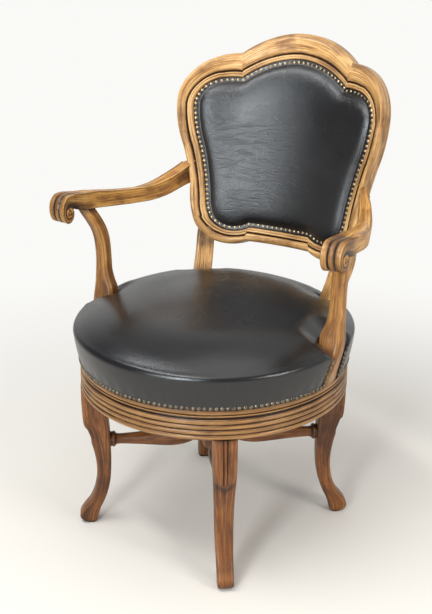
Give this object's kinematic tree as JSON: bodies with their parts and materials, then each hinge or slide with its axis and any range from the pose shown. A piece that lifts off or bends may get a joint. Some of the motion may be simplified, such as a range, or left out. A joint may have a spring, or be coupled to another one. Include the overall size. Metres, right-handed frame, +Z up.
{
  "type": "desk chair",
  "caption": "Swivelling desk chair: round leather seat on a turntable over a reeded base ring with S-shaped legs, scrolled arms and a nailed leather back in a shaped wooden frame.",
  "frame": {"origin": "on the floor under the middle of the whole chair's outline", "axes": "the sitter faces -Y, +X on the sitter's left, +Z up; the swivel axis is vertical at y = -0.07 m"},
  "size_m": [0.624, 0.6908, 0.9475],
  "materials": {
    "beech": "honey brown stain under satin wax, darker in the grooves",
    "dark_beech": "dark brown stain under satin wax",
    "plain_beech": "raw, planed",
    "black_leather": "smooth, half gloss",
    "nail_brass": "aged, satin",
    "steel": "zinc plated",
    "jute": "raw",
    "hair": "raw"
  },
  "bodies": {
    "base": {"leg_front": "dark_beech", "leg_left": "dark_beech", "leg_rear": "dark_beech", "leg_right": "dark_beech", "leg_dowels": "plain_beech", "stretcher_front": "dark_beech", "stretcher_left": "dark_beech", "stretcher_rear": "dark_beech", "stretcher_right": "dark_beech", "stretcher_hub": "dark_beech", "base_ring": "beech", "base_cross_rail_lower": "plain_beech", "base_cross_rail_upper": "plain_beech", "swivel_lower_plate": "steel", "lower_plate_screws": "steel"},
    "cage": {"ball_cage": "steel", "bearing_balls": "steel"},
    "seat": {"seat_ring": "beech", "arm_post_left": "beech", "arm_post_right": "beech", "arm_left": "beech", "arm_right": "beech", "back_stile_left": "beech", "back_stile_right": "beech", "back_crest_rail": "beech", "back_bottom_rail": "beech", "seat_cross_rail_lower": "plain_beech", "seat_cross_rail_upper": "plain_beech", "arm_dowels": "plain_beech", "back_frame_dowels": "plain_beech", "seat_leather": "black_leather", "back_leather": "black_leather", "rear_panel": "black_leather", "seat_nails": "nail_brass", "back_nails": "nail_brass", "rear_nails": "nail_brass", "swivel_upper_plate": "steel", "upper_plate_screws": "steel", "pivot_bolt": "steel", "pivot_washer": "steel", "pivot_nut": "steel", "arm_post_screws": "steel", "back_post_screws": "steel", "seat_webbing": "jute", "seat_hessian": "jute", "back_hessian": "jute", "back_webbing": "jute", "seat_stuffing": "hair", "back_stuffing": "hair"}
  },
  "joints": [
    {"name": "seat_swivel", "type": "hinge", "parent": "base", "child": "seat", "pos_m": [0, -0.07, 0.358], "axis": [0, 0, 1], "continuous": true},
    {"name": "cage_spin", "type": "hinge", "parent": "base", "child": "cage", "pos_m": [0, -0.07, 0.358], "axis": [0, 0, 1], "continuous": true}
  ],
  "couplings": [
    {"joint": "cage_spin", "follows": "seat_swivel", "ratio": 0.5}
  ]
}
